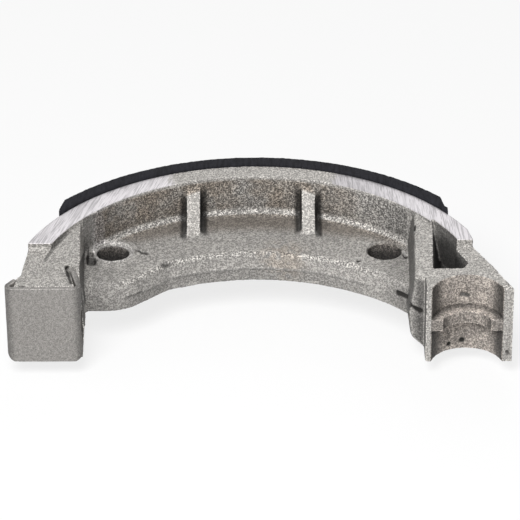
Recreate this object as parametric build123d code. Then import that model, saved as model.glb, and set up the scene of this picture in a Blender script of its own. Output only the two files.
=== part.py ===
from build123d import *
import os
from math import asin, cos, degrees, radians, sin, sqrt, tan

# Brake shoe of a small drum brake, in millimetres.
# A cast aluminium shoe carries a bonded friction lining on its rim and a bent steel wear cap on its cam end.
# Outlines are drawn about the drum's axis: X towards the pivot end, Y towards the crown of the lining, Z
# along the axis, with Z 0 in the rim's middle plane. The finished pieces are then moved so that the origin
# is on the pivot pin's axis.

# Drum and lining
drum_radius = 80.0
lining_thickness = 4.5
lining_width = 37.0
bond_line = 0.05
lining_cam_angle = 53.6
lining_pivot_angle = 54.93
lining_bevel_depth = 2.9
lining_cam_bevel = 6.1
lining_pivot_bevel = 9.1
lining_ledge_width = 0.9
lining_ledge_drop = 0.8

# Rim: its ends are flat, at a height above the drum's axis, and the pivot end's corner is cut off
rim_width = 35.0
rim_thickness = 7.1
rim_draft = 1.5
rim_cam_end = 26.0
rim_pivot_end = 27.2
rim_corner_rise = 6.5
rim_corner_width = 1.4
cam_machined_lip = 1.6
pivot_machined_lip = 0.7

# Web: its edge towards the drum's axis is an arc from the pivot block over the crown, which then steps
# down to a straight shelf beside the cam block
web_thickness = 10.5
web_drop = 1.05
web_draft = 9.0
web_root_fillet = 1.8
web_depth = 26.95
web_arc_offset = 0.5
web_arc_end = 11.17
web_slope_gap = 25.7
web_slope_drop = 12.6
web_slope_angle = 43.0
web_slope_fillet = 14.0
web_shoulder_fillet = 6.0
web_edge_fillet = 1.4

# Shallow band in the web along the rim, ending short of the spring holes
band_radius = 96.0
band_width = 13.15
band_depth = 0.5
band_cam_gap = 7.0
band_pivot_gap = 8.8

# Ribs between rim and web
rib_positions = (-19.5, 17.6)
rib_thickness = 4.4
rib_reach = 12.6
rib_top_gap = 2.4

# Return spring holes, each placed by its gaps to the end block's wall and to the rim's inside
hole_radius = 5.3
hole_chamfer = 0.7
cam_hole_gap = 8.9
cam_hole_rim_gap = 6.52
pivot_hole_gap = 6.9
pivot_hole_rim_gap = 8.02
boss_radius = 8.7
boss_height = 0.4
core_mark_width = 2.2
core_mark_length = 7.5
core_mark_depth = 2.5

# Cam end block, measured at the parting plane: widths run in from its outer front corner
cam_face = 4.3
cam_corner_gap = 5.7
cam_front_width = 21.6
cam_rim_width = 20.4
cam_shoulder_step = 0.7
cam_shoulder_height = 11.1
cam_waist_step = 1.9
cam_waist_height = 12.6
cam_pad_start = 36.6
cam_front_height = 27.2
cam_rim_drop = 1.5
cam_draft = 4.0
cam_edge_fillet = 0.9

# Wear cap on the cam end
cap_sheet = 1.5
cap_gap = 0.1
cap_inner_step = 0.6
cap_overhang = 2.6
cap_height = 26.4
cap_lift = 0.6
cap_bend = 0.8
cap_return = 1.6
cap_corner = 3.4
cap_trim = 0.15
cap_leg_height = 15.5
cap_outer_leg = 8.0
cap_outer_lean = 36.0
cap_inner_leg = 12.5
cap_inner_lean = 13.5
cap_hook = 0.4
cap_hook_lean = 70.0
slot_clearance = 0.45

# Pivot end block, measured at the parting plane: reaches are taken from the pin's axis
pivot_gap = 13.7
pivot_rise = 0.94
seat_radius = 11.43
seat_land = 3.2
seat_height = 26.4
seat_cam_wall = 1.9
seat_outer_wall = 3.3
seat_shoulder_reach = 9.1
seat_shoulder_height = 15.6
collar_radius = 8.2
collar_width = 4.2
cheek_front = 11.6
cheek_front_reach = 18.1
cheek_rim_reach = 17.6
cheek_front_wall = 6.8
cheek_rim_wall = 7.7
cheek_draft = 7.5
cheek_rim_drop = 0.6
cheek_slope_lead = 1.0
cheek_fillet = 1.3
heel_rise = 6.4
heel_drop = 4.9
heel_length = 16.5

# Pocket between the rim's pivot end and the seat, on both sides of the web
window_seat_wall = 3.5
window_reach = 1.0
window_shoulder_step = 3.5
window_shoulder_height = 25.5
window_rim_wall = 5.8
window_corner = 1.8
window_draft = 3.0
window_cheek_draft = 13.0

# How far a cutting shape runs past the surface that it cuts, and how near counts as the same place
past = 1.0
near = 0.05


def on_arc(radius, x):
    """Height of a circle about the drum's axis at x."""
    return sqrt(radius**2 - x**2)


rim_radius = drum_radius - lining_thickness - bond_line
rim_inner = rim_radius - rim_thickness
rim_top = rim_width / 2
rim_corner_x = on_arc(rim_radius, rim_pivot_end) - rim_corner_width

web_top = web_thickness / 2 - web_drop
web_bottom = -web_thickness / 2 - web_drop
web_crown = rim_inner - web_depth

cam_front = cam_face + cap_sheet + cap_gap
cam_corner = drum_radius - cam_corner_gap
cam_inner_front = cam_corner - cam_front_width
cam_inner_rim = cam_corner - cam_rim_width
cap_inner = cam_inner_front + cap_inner_step
cap_width = cam_corner + cap_overhang - cap_inner

pivot_reach = drum_radius - pivot_gap
seat_top = seat_height / 2
half_land = sqrt(seat_radius**2 - seat_land**2)
land_y = pivot_rise + seat_land
seat_wall_x = pivot_reach - half_land - seat_cam_wall
cheek_inner_front = pivot_reach - cheek_front_reach
cheek_inner_rim = pivot_reach - cheek_rim_reach

web_arc_run = pivot_reach - seat_radius - web_arc_offset
web_arc_rise = web_crown - web_arc_end
web_arc_radius = (web_arc_run**2 + web_arc_rise**2) / (2 * web_arc_rise)
web_arc_y = web_crown - web_arc_radius
web_slope_start = cam_inner_front - web_slope_gap
web_slope_y = web_arc_y + sqrt(web_arc_radius**2 - (web_slope_start + web_arc_offset) ** 2)
web_shelf = web_slope_y - web_slope_drop
cam_hole_x = cam_hole_gap - cam_inner_rim
cam_hole = (cam_hole_x, on_arc(rim_inner - cam_hole_rim_gap, cam_hole_x))
pivot_hole_x = cheek_inner_rim - pivot_hole_gap
pivot_hole = (pivot_hole_x, on_arc(rim_inner - pivot_hole_rim_gap, pivot_hole_x))


def polar(radius, angle):
    """Point at an angle from the crown, positive towards the pivot end."""
    return (radius * sin(radians(angle)), radius * cos(radians(angle)))


def outline(*curves):
    """Face inside a closed run of lines and arcs."""
    return make_face([edge for curve in curves for edge in curve.edges()])


def polygon(*points):
    """Face inside a closed run of straight lines."""
    return outline(Polyline(*points, close=True))


def upright(face, low, high):
    """Solid over a face drawn in the plan, between two heights."""
    return Pos(0, 0, low) * extrude(face, high - low, dir=(0, 0, 1))


def crosswise(points, start, end):
    """Solid over an outline of (y, z) points, from x start to x end."""
    return Pos(start, 0, 0) * extrude(Plane.YZ * polygon(*points), end - start, dir=(1, 0, 0))


def drafted(plan, draft):
    """Solid of the rim's full width whose plan(shift) narrows away from the parting plane."""
    levels = (-rim_top, -web_drop, rim_top)
    lean = tan(radians(draft))
    return loft([Pos(0, 0, z) * plan(lean * abs(z + web_drop)) for z in levels], ruled=True)


def rim_with_web_root():
    """Rim and the outer part of the web, turned as one section."""
    lean = tan(radians(rim_draft))
    web_inside = rim_inner - 3 * web_root_fillet
    section = Plane.XZ * polygon(
        (rim_radius, rim_top),
        (rim_radius, -rim_top),
        (rim_inner, -rim_top),
        (rim_inner - lean * (rim_top + web_bottom), web_bottom),
        (web_inside, web_bottom),
        (web_inside, web_top),
        (rim_inner - lean * (rim_top - web_top), web_top),
        (rim_inner, rim_top),
    )
    start = degrees(asin(rim_pivot_end / rim_radius)) - past
    finish = 180 - degrees(asin(rim_cam_end / rim_radius)) + past
    ring = revolve(Rot(0, 0, start) * section, Axis.Z, finish - start)
    cam_end = polygon((0, 0), (-drum_radius, 0), (-drum_radius, rim_cam_end), (0, rim_cam_end))
    corner_y = rim_pivot_end + rim_corner_rise
    corner_x = sqrt(rim_radius**2 - corner_y**2)
    pivot_end = polygon(
        (0, 0),
        (0, rim_pivot_end),
        (rim_corner_x, rim_pivot_end),
        (corner_x, corner_y),
        (drum_radius, corner_y),
        (drum_radius, 0),
    )
    return ring - upright(cam_end, -rim_width, rim_width) - upright(pivot_end, -rim_width, rim_width)


def web_outline():
    """Web's outline from the cam block round to the pivot block, at the parting plane."""
    shelf_x = -web_slope_start - web_slope_drop / tan(radians(web_slope_angle))
    block_x = -cam_inner_rim - rim_thickness / 2
    seat_x = pivot_reach - seat_radius
    outside = rim_inner - 2 * web_root_fillet
    block_y = on_arc(outside, block_x)
    rim_y = on_arc(outside, seat_x)
    face = outline(
        Polyline((block_x, block_y), (block_x, web_shelf), (shelf_x, web_shelf), (-web_slope_start, web_slope_y)),
        ThreePointArc((-web_slope_start, web_slope_y), (web_arc_offset, web_crown), (seat_x, web_arc_end)),
        Line((seat_x, web_arc_end), (seat_x, rim_y)),
        ThreePointArc((seat_x, rim_y), (0, outside), (block_x, block_y)),
    )
    corners = (((shelf_x, web_shelf), web_slope_fillet), ((-web_slope_start, web_slope_y), web_shoulder_fillet))
    for corner, rounding in corners:
        face = fillet(face.vertices().sort_by_distance(corner)[0], rounding)
    return face


def web_plate():
    """Web with its edge drafted away from the parting plane on both sides, and its edges rounded."""
    upper = extrude(web_outline(), web_thickness / 2, dir=(0, 0, 1), taper=web_draft)
    low = [edge for edge in upper.edges().group_by(Axis.Z)[-1] if edge.center().Y < web_crown + past]
    free = [edge for edge in low if -cam_inner_rim - past < edge.center().X < cheek_inner_front]
    upper = upper.fillet(web_edge_fillet, free)
    return Pos(0, 0, -web_drop) * (upper + mirror(upper, Plane.XY))


def cam_plan(shift):
    """Cam block's outline, with its wall on the web's side set back by shift."""
    rim_x = cam_inner_rim + shift
    end_x = on_arc(rim_radius, rim_cam_end)
    inside_rim = rim_inner + rim_thickness / 2
    return polygon(
        (-cam_inner_front - shift, cam_front),
        (-rim_x, on_arc(inside_rim, rim_x)),
        (-end_x + past, rim_cam_end + past),
        (-end_x, rim_cam_end),
        (cam_waist_step - cam_corner, cam_waist_height),
        (cam_shoulder_step - cam_corner, cam_shoulder_height),
        (-cam_corner, cam_front),
    )


def cam_relief():
    """What the as-cast top of the cam block lies below the machined rim face."""
    front_z = cam_front_height / 2
    profile = [
        (cam_front - past, rim_top + past),
        (cam_front - past, front_z),
        (cam_pad_start, rim_top - cam_rim_drop),
        (drum_radius, rim_top - cam_rim_drop),
        (drum_radius, rim_top + past),
    ]
    return crosswise(profile, -drum_radius, past - cam_inner_front)


def machined_zone(side, end_y, lip):
    """Where the end block is machined level with the rim, on the pivot (1) or cam (-1) side."""
    far_x = side * drum_radius
    quarter = polygon((0, end_y), (far_x, end_y), (far_x, drum_radius), (0, drum_radius))
    return upright(quarter - Circle(rim_inner + lip), -rim_top, rim_top)


def with_relief(block, relief, zone, radius, is_soft):
    """End block with relieved faces and soft edges, left at its full height in the machined zone."""
    cast = block - relief - mirror(relief, Plane.XY)
    return cast.fillet(radius, cast.edges().filter_by(is_soft)) + (block & zone)


def is_cam_edge(edge):
    """Whether an edge runs along the cam block's outer side, between the cap and the rim."""
    middle = edge.center()
    level = abs(middle.Z) > cam_front_height / 2 - past
    outer = middle.X < cam_front_width / 2 - cam_corner
    return level and outer and cam_front + near < middle.Y < rim_cam_end


def cam_block():
    zone = machined_zone(-1, rim_cam_end, cam_machined_lip)
    return with_relief(drafted(cam_plan, cam_draft), cam_relief(), zone, cam_edge_fillet, is_cam_edge)


def pivot_plan(shift):
    """Pivot block's outline, with the cheek's wall on the web's side set back by shift."""
    rim_x = cheek_inner_rim + shift
    inside_rim = rim_inner + rim_thickness / 2
    return polygon(
        (cheek_inner_front + shift, cheek_front),
        (seat_wall_x, cheek_front),
        (seat_wall_x, land_y),
        (pivot_reach + half_land + seat_outer_wall, land_y),
        (pivot_reach + seat_shoulder_reach, seat_shoulder_height),
        (rim_corner_x, rim_pivot_end),
        (rim_corner_x - past, rim_pivot_end + past),
        (rim_x, on_arc(inside_rim, rim_x)),
    )


def pivot_relief():
    """What the as-cast top of the pivot block lies below the machined rim face."""
    rim_y = on_arc(rim_inner, cheek_inner_rim)
    profile = [
        (0, rim_top + past),
        (0, seat_top),
        (cheek_front - cheek_slope_lead, seat_top),
        (rim_y, rim_top - cheek_rim_drop),
        (drum_radius, rim_top - cheek_rim_drop),
        (drum_radius, rim_top + past),
    ]
    return crosswise(profile, cheek_inner_front - past, drum_radius + seat_radius)


def is_cheek_edge(edge):
    """Whether an edge runs round the cheek: its front corner, and its upper and lower outline there."""
    middle = edge.center()
    if middle.X > seat_wall_x or middle.Y < cheek_front - near:
        return False
    upper = abs(middle.Z) > seat_top - past and middle.Y < rim_inner / 2
    corner = middle.X < cheek_inner_front + past and middle.Y < cheek_front + near
    return upper or corner


def heel_cut():
    """Slanted underside of the cheek in front of the web."""
    start_x = cheek_inner_front - past
    face = Plane.XZ * polygon(
        (start_x, -heel_rise),
        (cheek_inner_front + past, -heel_rise),
        (seat_wall_x, -heel_rise - heel_drop),
        (seat_wall_x, -rim_width),
        (start_x, -rim_width),
    )
    run = Vector(0, heel_length, -(rim_top - heel_rise))
    return extrude(Pos(0, cheek_front - past, 0) * face, run.length, dir=run.normalized())


def window_plan(inset, cheek_inset):
    """Pocket's outline, drawn in by cheek_inset on the cheek's side and by inset elsewhere."""
    bottom = pivot_rise + seat_radius + window_seat_wall + inset
    wall = rim_radius - window_rim_wall - inset
    reach = pivot_reach + window_reach - inset
    shoulder = reach - window_shoulder_step
    front_x = cheek_inner_front + cheek_front_wall + cheek_inset
    rim_x = cheek_inner_rim + cheek_rim_wall + cheek_inset
    start = (shoulder, on_arc(wall, shoulder))
    end = (rim_x, on_arc(wall, rim_x))
    middle_x = (start[0] + end[0]) / 2
    face = outline(
        Polyline(
            end,
            (front_x, bottom),
            (reach - window_corner, bottom),
            (reach, bottom + 1.5 * window_corner),
            (shoulder, window_shoulder_height),
            start,
        ),
        ThreePointArc(start, (middle_x, on_arc(wall, middle_x)), end),
    )
    return face


def window_pocket(floor):
    """Pocket from one face of the casting down to the web, narrowing as it goes."""
    side = 1 if floor > 0 else -1
    depth = rim_top - abs(floor)
    narrow = [depth * tan(radians(draft)) for draft in (window_draft, window_cheek_draft)]
    wide = [-past * tan(radians(draft)) for draft in (window_draft, window_cheek_draft)]
    mouth = Pos(0, 0, side * (rim_top + past)) * window_plan(*wide)
    return loft([mouth, Pos(0, 0, floor) * window_plan(*narrow)], ruled=True)


def rib(x, side):
    """Gusset from the rim's inside down to the web, on the upper (1) or lower (-1) side."""
    foot = on_arc(rim_inner, x) - rib_reach
    floor = web_top if side > 0 else web_bottom
    under = floor - side * web_root_fillet
    rise = (side * (rim_top - rib_top_gap) - floor) / rib_reach
    length = rib_reach + web_root_fillet
    profile = [(foot, floor), (foot + length, floor + rise * length), (foot + length, under), (foot, under)]
    return crosswise(profile, x - rib_thickness / 2, x + rib_thickness / 2)


def is_root(edge):
    """Whether an edge is an inside corner between the rim, the web and a rib's sides."""
    if edge.geom_type in (GeomType.CIRCLE, GeomType.HYPERBOLA):
        return edge.is_interior
    start, end = edge @ 0, edge @ 1
    sides = [x + side * rib_thickness / 2 for x in rib_positions for side in (1, -1)]
    level = abs(start.Z - end.Z) < near
    return level and any(abs(start.X - x) + abs(end.X - x) < near for x in sides)


def ribbed_rim():
    """Rim, web and ribs, with one fillet running round all their inside corners."""
    ribbed = rim_with_web_root() + web_plate()
    for x in rib_positions:
        ribbed = ribbed + rib(x, 1) + rib(x, -1)
    return ribbed.fillet(web_root_fillet, ribbed.edges().filter_by(is_root))


def seat_cut():
    """Half-round seat for the pivot pin, with the collar left standing in its middle."""
    above = (Align.CENTER, Align.CENTER, Align.MIN)
    bore = Pos(0, 0, collar_width / 2) * Cylinder(seat_radius, rim_width, align=above)
    cut = bore + mirror(bore, Plane.XY) + Cylinder(collar_radius, rim_width)
    return Pos(pivot_reach, pivot_rise, 0) * cut


def pivot_block():
    zone = machined_zone(1, rim_pivot_end, pivot_machined_lip)
    block = drafted(pivot_plan, cheek_draft)
    front_width = seat_wall_x - cheek_inner_front - (seat_top + web_drop) * tan(radians(cheek_draft))
    radius = min(cheek_fillet, front_width / 2)
    return with_relief(block, pivot_relief(), zone, radius, is_cheek_edge) - heel_cut()


def spring_hole(centre):
    """Hole through the web with a chamfer at both mouths."""
    mouth = Pos(0, 0, web_top) * Cone(hole_radius, hole_radius + 2 * hole_chamfer, 2 * hole_chamfer)
    far_mouth = Pos(0, 0, web_bottom) * Cone(hole_radius + 2 * hole_chamfer, hole_radius, 2 * hole_chamfer)
    return Pos(*centre, 0) * (Cylinder(hole_radius, rim_width) + mouth + far_mouth)


def cam_boss():
    """Low pad round the cam end's spring hole."""
    above = (Align.CENTER, Align.CENTER, Align.MIN)
    return Pos(*cam_hole, web_top) * Cylinder(boss_radius, boss_height, align=above)


def core_mark():
    """Narrow recess that the mould leaves between the boss and the cam block."""
    start_x = cam_hole[0] - boss_radius + hole_chamfer
    start_y = cam_hole[1] - core_mark_length + hole_chamfer
    face = polygon(
        (start_x, start_y),
        (start_x + core_mark_width, start_y),
        (start_x + core_mark_width, start_y + core_mark_length),
        (start_x, start_y + core_mark_length),
    )
    return upright(face, web_top - core_mark_depth, web_top + boss_height + past)


def band():
    """Shallow band in the web's upper face along the rim."""
    centre_y = rim_inner - band_width - band_radius
    wall = Circle(rim_inner - web_root_fillet)
    strip = wall - Pos(0, centre_y) * Circle(band_radius)
    start_x = cam_hole[0] + band_cam_gap
    end_x = pivot_hole[0] - band_pivot_gap
    strip = strip & Pos((start_x + end_x) / 2, drum_radius) * Rectangle(end_x - start_x, 2 * drum_radius)
    for x in rib_positions:
        strip = strip - Pos(x, drum_radius) * Rectangle(rib_thickness + 2 * web_root_fillet, 2 * drum_radius)
    return upright(strip, web_top - band_depth, web_top + past)


def lean_way(lean):
    """Direction in the plan that leans from the Y axis by an angle, towards +X."""
    return Vector(sin(radians(lean)), cos(radians(lean)))


def cap_path(outer_leg, inner_leg):
    """Outer face of the bent sheet in the plan, from the outer leg's end round to the inner leg's end."""
    bend = cap_bend + cap_sheet
    outer_swell, inner_swell = [
        bend * (tan(radians((90 + lean) / 2)) - 1) for lean in (cap_outer_lean, cap_inner_lean)
    ]
    outer_corner = Vector(-cap_inner - cap_width - outer_swell, cam_face)
    inner_corner = Vector(-cap_inner + inner_swell, cam_face)
    outer_end = outer_corner + lean_way(cap_outer_lean) * outer_leg
    inner_end = inner_corner + lean_way(-cap_inner_lean) * inner_leg
    return [outer_end, outer_corner, inner_corner, inner_end]


def bent_sheet(path):
    """Face of a sheet whose outer side follows the path, with its bends rounded."""
    steps = [(b - a).normalized() for a, b in zip(path, path[1:])]
    normals = [Vector(-step.Y, step.X) for step in steps]
    inside = [
        corner + (before + after) * (cap_sheet / (1 + before.dot(after)))
        for corner, before, after in zip(path[1:-1], normals, normals[1:])
    ]
    back = [path[0] + normals[0] * cap_sheet, *inside, path[-1] + normals[-1] * cap_sheet]
    face = polygon(*[(p.X, p.Y) for p in path + back[::-1]])
    for corners, radius in ((path[1:-1], cap_bend + cap_sheet), (inside, cap_bend)):
        for corner in corners:
            face = fillet(face.vertices().sort_by_distance(corner)[0], radius)
    return face


def turned_sheet():
    """The cap's section on its lower part, where its sides only turn back."""
    bend = cap_bend + cap_sheet
    turns = [bend * tan(radians((90 + lean) / 2)) + cap_return for lean in (cap_outer_lean, cap_inner_lean)]
    return bent_sheet(cap_path(*turns))


def legged_sheet():
    """The cap's section on its upper part, with both legs and the hook on the inner one."""
    path = cap_path(cap_outer_leg, cap_inner_leg)
    path.append(path[-1] + lean_way(-cap_hook_lean) * (cap_sheet + cap_hook))
    return bent_sheet(path)


def build_cap():
    """Bent sheet cap: a face plate whose sides turn back a little, and two legs on its upper part."""
    low = cap_lift - cap_height / 2
    high = cap_lift + cap_height / 2
    body = upright(turned_sheet(), low, high) + upright(legged_sheet(), high - cap_leg_height, high)
    width = cap_width + 2 * cap_trim
    bottom = low - cap_trim
    front = Pos(-cap_inner - cap_width / 2, (bottom + rim_top) / 2) * Rectangle(width, rim_top - bottom)
    front = fillet(front.vertices().sort_by(Axis.Y)[:2], cap_corner)
    return body & Pos(0, cam_face - past, 0) * extrude(Plane.XZ * front, -drum_radius)


def cap_recess():
    """Room in the cam block for the cap, wider on the inner side of the leg in the slot."""
    leg_low = cap_lift + cap_height / 2 - cap_leg_height - cap_gap
    cuts = []
    for sheet, low in ((turned_sheet(), -rim_top - past), (legged_sheet(), leg_low)):
        cut = upright(offset(sheet, cap_gap, kind=Kind.INTERSECTION), low, rim_top + past)
        cuts += [cut, Pos(-slot_clearance, 0, 0) * cut]
    return cuts


def build_lining():
    """Friction lining: an arc with bevelled ends, and a ledge left by the cut at its pivot end."""
    inner = drum_radius - lining_thickness
    end_radius = drum_radius - lining_bevel_depth
    cam_start = polar(drum_radius, degrees(lining_cam_bevel / drum_radius) - lining_cam_angle)
    pivot_start = polar(drum_radius, lining_pivot_angle - degrees(lining_pivot_bevel / drum_radius))
    cam_end = polar(inner, -lining_cam_angle)
    pivot_end = polar(inner, lining_pivot_angle)
    ledge_x = pivot_end[0] - lining_ledge_width
    ledge_y = on_arc(end_radius, ledge_x)
    face = outline(
        ThreePointArc(cam_start, (0, drum_radius), pivot_start),
        Polyline(pivot_start, (ledge_x, ledge_y), (pivot_end[0], ledge_y - lining_ledge_drop), pivot_end),
        ThreePointArc(pivot_end, (0, inner), cam_end),
        Polyline(cam_end, polar(end_radius, -lining_cam_angle), cam_start),
    )
    return upright(face, -lining_width / 2, lining_width / 2)


def build_casting():
    casting = ribbed_rim() + cam_block() + pivot_block() + cam_boss()
    casting = casting - band() - window_pocket(web_top) - window_pocket(web_bottom) - seat_cut()
    casting = casting - spring_hole(cam_hole) - spring_hole(pivot_hole) - core_mark()
    return casting - cap_recess()


os.makedirs("parts", exist_ok=True)
pieces = {
    "shoe_casting": build_casting(),
    "friction_lining": build_lining(),
    "cam_cap": build_cap(),
}
for name, piece in pieces.items():
    export_step(Pos(-pivot_reach, -pivot_rise, 0) * piece, f"parts/{name}.step")
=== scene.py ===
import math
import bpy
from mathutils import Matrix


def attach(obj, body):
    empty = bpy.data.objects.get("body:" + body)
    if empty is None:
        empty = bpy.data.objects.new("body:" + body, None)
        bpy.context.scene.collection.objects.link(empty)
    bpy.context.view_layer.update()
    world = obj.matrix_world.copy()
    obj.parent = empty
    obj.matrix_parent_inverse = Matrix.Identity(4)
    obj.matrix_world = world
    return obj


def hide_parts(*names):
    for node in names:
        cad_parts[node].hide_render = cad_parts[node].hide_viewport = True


bl_info = {
    "name": "Drum brake shoe",
    "version": (1, 0, 0),
    "blender": (4, 5, 0),
    "location": "View3D > Sidebar > Brake shoe",
    "description": "Dresses the packed brake shoe: sand-cast aluminium, bonded lining and sheet-steel cap",
    "category": "Object",
}

import bpy
import numpy as np
from bpy.props import FloatProperty, FloatVectorProperty, PointerProperty
from mathutils import Quaternion, Vector
from mathutils.bvhtree import BVHTree
from mathutils.kdtree import KDTree

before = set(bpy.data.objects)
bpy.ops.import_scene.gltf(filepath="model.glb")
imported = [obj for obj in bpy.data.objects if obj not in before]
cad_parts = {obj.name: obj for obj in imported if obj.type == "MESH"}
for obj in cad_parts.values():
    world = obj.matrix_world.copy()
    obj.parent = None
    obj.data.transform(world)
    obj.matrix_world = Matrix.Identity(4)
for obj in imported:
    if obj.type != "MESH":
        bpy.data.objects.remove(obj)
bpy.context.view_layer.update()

MM = 0.001
DRUM_AXIS = Vector((-66.3 * MM, -0.94 * MM, 0))
RIM_TOP = 17.5 * MM
RIM_INNER = 68.35 * MM
RIM_OUTER = 75.45 * MM
WEB_TOP = 4.2 * MM
SEAT_RADIUS = 11.43 * MM
HOLES = (Vector((-111.3 * MM, 41.46 * MM, 0)), Vector((-24.5 * MM, 42.56 * MM, 0)))
BAND_CENTRE = Vector((-66.3 * MM, -41.74 * MM, 0))
BAND_RADIUS = 96 * MM
PARTING_HEIGHT = -1.05 * MM
FLOOR = -18.5 * MM

# Marks seen in the photo, in millimetres: line ends, half width and depth (a pit has both ends in one place)
DENTS = (
    ((-20.9, 22.6, 0.3), (-17.5, 19.6, 0.6), 1.2, 1.0),
    ((-17.4, 11.6, 2.8), (-14.2, 10.7, 0.8), 1.1, 1.0),
    ((-5.1, 10.2, -11.1), (-5.1, 10.2, -11.1), 1.0, 1.0),
    ((-1.0, 11.4, -10.4), (-1.0, 11.4, -10.4), 1.3, 0.9),
    ((-1.4, 11.3, 6.4), (0.4, 11.4, 6.0), 1.0, 0.6),
    ((12.6, 3.2, -9.6), (13.0, 3.2, -10.4), 0.8, 0.6),
    ((-15.2, 38.0, 15.2), (-15.4, 36.2, 15.0), 0.9, 1.0),
    ((-18.4, 40.1, 4.2), (-17.9, 38.0, 4.2), 0.8, 1.0),
    ((-118.4, 38.6, 4.6), (-117.8, 35.4, 4.6), 2.0, 1.0),
    ((-103.6, 42.6, 4.2), (-100.6, 41.4, 4.2), 1.0, 0.7),
    ((-33.3, 35.9, 4.2), (-32.3, 36.2, 4.2), 0.8, 1.0),
    ((-124.5, 16.2, 14.0), (-123.7, 11.2, 14.0), 1.0, 0.9),
    ((-123.7, 11.2, 14.0), (-122.6, 7.0, 13.8), 0.7, 0.7),
    ((-135.6, 24.1, 14.6), (-133.4, 23.9, 14.6), 0.7, 0.7),
    ((-138.4, 4.6, 13.6), (-137.6, 5.2, 13.6), 0.8, 0.9),
    ((-95.4, 34.3, 3.6), (-93.2, 35.0, 3.8), 1.2, 0.55),
)
BUMPS = (
    ((-34.4, 35.2, 4.2), (-33.9, 37.3, 4.2), 0.8, 1.0),
    ((-33.9, 37.3, 4.2), (-31.9, 37.2, 4.2), 0.8, 1.0),
    ((-31.9, 37.2, 4.2), (-31.2, 35.0, 4.2), 0.8, 0.9),
    ((-32.0, 32.8, 3.9), (-31.6, 32.6, 3.9), 0.9, 0.8),
    ((-30.2, 31.6, 4.0), (-29.2, 31.0, 4.0), 0.8, 1.0),
    ((-27.7, 30.0, 4.0), (-27.3, 29.7, 4.0), 0.9, 0.7),
    ((-26.0, 28.8, 4.1), (-24.8, 28.0, 4.1), 0.8, 0.9),
    ((-38.9, 33.3, 1.9), (-38.6, 33.9, -0.9), 0.8, 1.0),
    ((-38.9, 33.3, 1.9), (-35.0, 32.4, 2.0), 0.8, 0.8),
    ((-38.6, 33.9, -0.9), (-34.6, 33.0, -1.0), 0.8, 0.8),
    ((-13.9, 12.5, 13.5), (-14.4, 13.6, 13.6), 1.1, 1.0),
    ((-18.6, 41.6, 4.3), (-17.8, 39.6, 4.3), 0.8, 0.9),
    ((-93.9, 66.0, 17.4), (-93.5, 66.6, 17.4), 0.9, 0.9),
    ((-85.9, 68.3, 17.4), (-85.4, 70.6, 17.4), 0.6, 0.8),
    ((-125.5, 6.4, 14.0), (-126.6, 7.0, 14.0), 0.8, 0.7),
    ((-125.9, 16.6, 14.0), (-125.4, 13.6, 14.0), 0.8, 0.9),
    ((-119.8, 10.8, 9.6), (-119.4, 11.6, 0.8), 0.7, 0.9),
    ((-119.4, 11.6, 0.8), (-119.2, 12.2, -4.6), 0.7, 0.6),
    ((-9.6, 36.2, 15.0), (-7.6, 31.9, 6.8), 0.8, 1.0),
    ((-136.2, 25.2, 15.2), (-131.4, 25.1, 15.2), 0.6, 0.7),
)


# Small helpers


def deselect_all():
    bpy.ops.object.select_all(action="DESELECT")


def make_active(obj):
    deselect_all()
    obj.select_set(True)
    bpy.context.view_layer.objects.active = obj


def copy_of_node(node, name):
    """A copy of a CAD node as one closed mesh, ready to be worked on."""
    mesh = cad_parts[node].data.copy()
    mesh.name = name
    mesh.materials.clear()
    obj = bpy.data.objects.new(name, mesh)
    bpy.context.scene.collection.objects.link(obj)
    make_active(obj)
    bpy.ops.object.mode_set(mode="EDIT")
    bpy.ops.mesh.select_all(action="SELECT")
    bpy.ops.mesh.remove_doubles(threshold=0.002 * MM)
    bpy.ops.mesh.normals_make_consistent(inside=False)
    bpy.ops.object.mode_set(mode="OBJECT")
    return obj


def apply_modifier(obj, kind, **settings):
    make_active(obj)
    modifier = obj.modifiers.new(kind.lower(), kind)
    for key, value in settings.items():
        setattr(modifier, key, value)
    bpy.ops.object.modifier_apply(modifier=modifier.name)


def points_of(obj):
    count = len(obj.data.vertices)
    points = np.zeros(count * 3, np.float32)
    obj.data.vertices.foreach_get("co", points)
    return points.reshape(count, 3)


def weight_group(obj, name, weights, steps=8):
    """Vertex group from an array of weights, rounded to a few steps."""
    group = obj.vertex_groups.new(name=name)
    levels = np.round(np.clip(weights, 0, 1) * steps).astype(int)
    for level in range(1, steps + 1):
        group.add(np.flatnonzero(levels == level).tolist(), level / steps, "REPLACE")
    return group


def roughen(obj, name, size, depth, group="", levels=2):
    """Pushes the surface in and out by a cloud pattern of a given grain size."""
    texture = bpy.data.textures.new(name, "CLOUDS")
    texture.noise_scale = size
    texture.noise_depth = levels
    texture.noise_type = "HARD_NOISE" if levels > 3 else "SOFT_NOISE"
    apply_modifier(
        obj,
        "DISPLACE",
        texture=texture,
        texture_coords="LOCAL",
        direction="NORMAL",
        strength=depth,
        mid_level=0.5,
        vertex_group=group,
    )


def normals_of(obj):
    normals = np.zeros(len(obj.data.vertices) * 3, np.float32)
    obj.data.vertex_normals.foreach_get("vector", normals)
    return normals.reshape(-1, 3)


def smoothstep(values, low, high):
    share = np.clip((values - low) / (high - low), 0, 1)
    return share * share * (3 - 2 * share)


def hollows_of(obj, iterations):
    """How far the surface lies under its own smoothed shape: positive in creases, negative on edges."""
    before, normals = points_of(obj), normals_of(obj)
    smoothed = bpy.data.objects.new("smoothed", obj.data.copy())
    bpy.context.scene.collection.objects.link(smoothed)
    apply_modifier(smoothed, "SMOOTH", factor=0.5, iterations=iterations)
    hollow = np.sum((points_of(smoothed) - before) * normals, axis=1)
    bpy.data.meshes.remove(smoothed.data)
    return hollow


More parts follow.
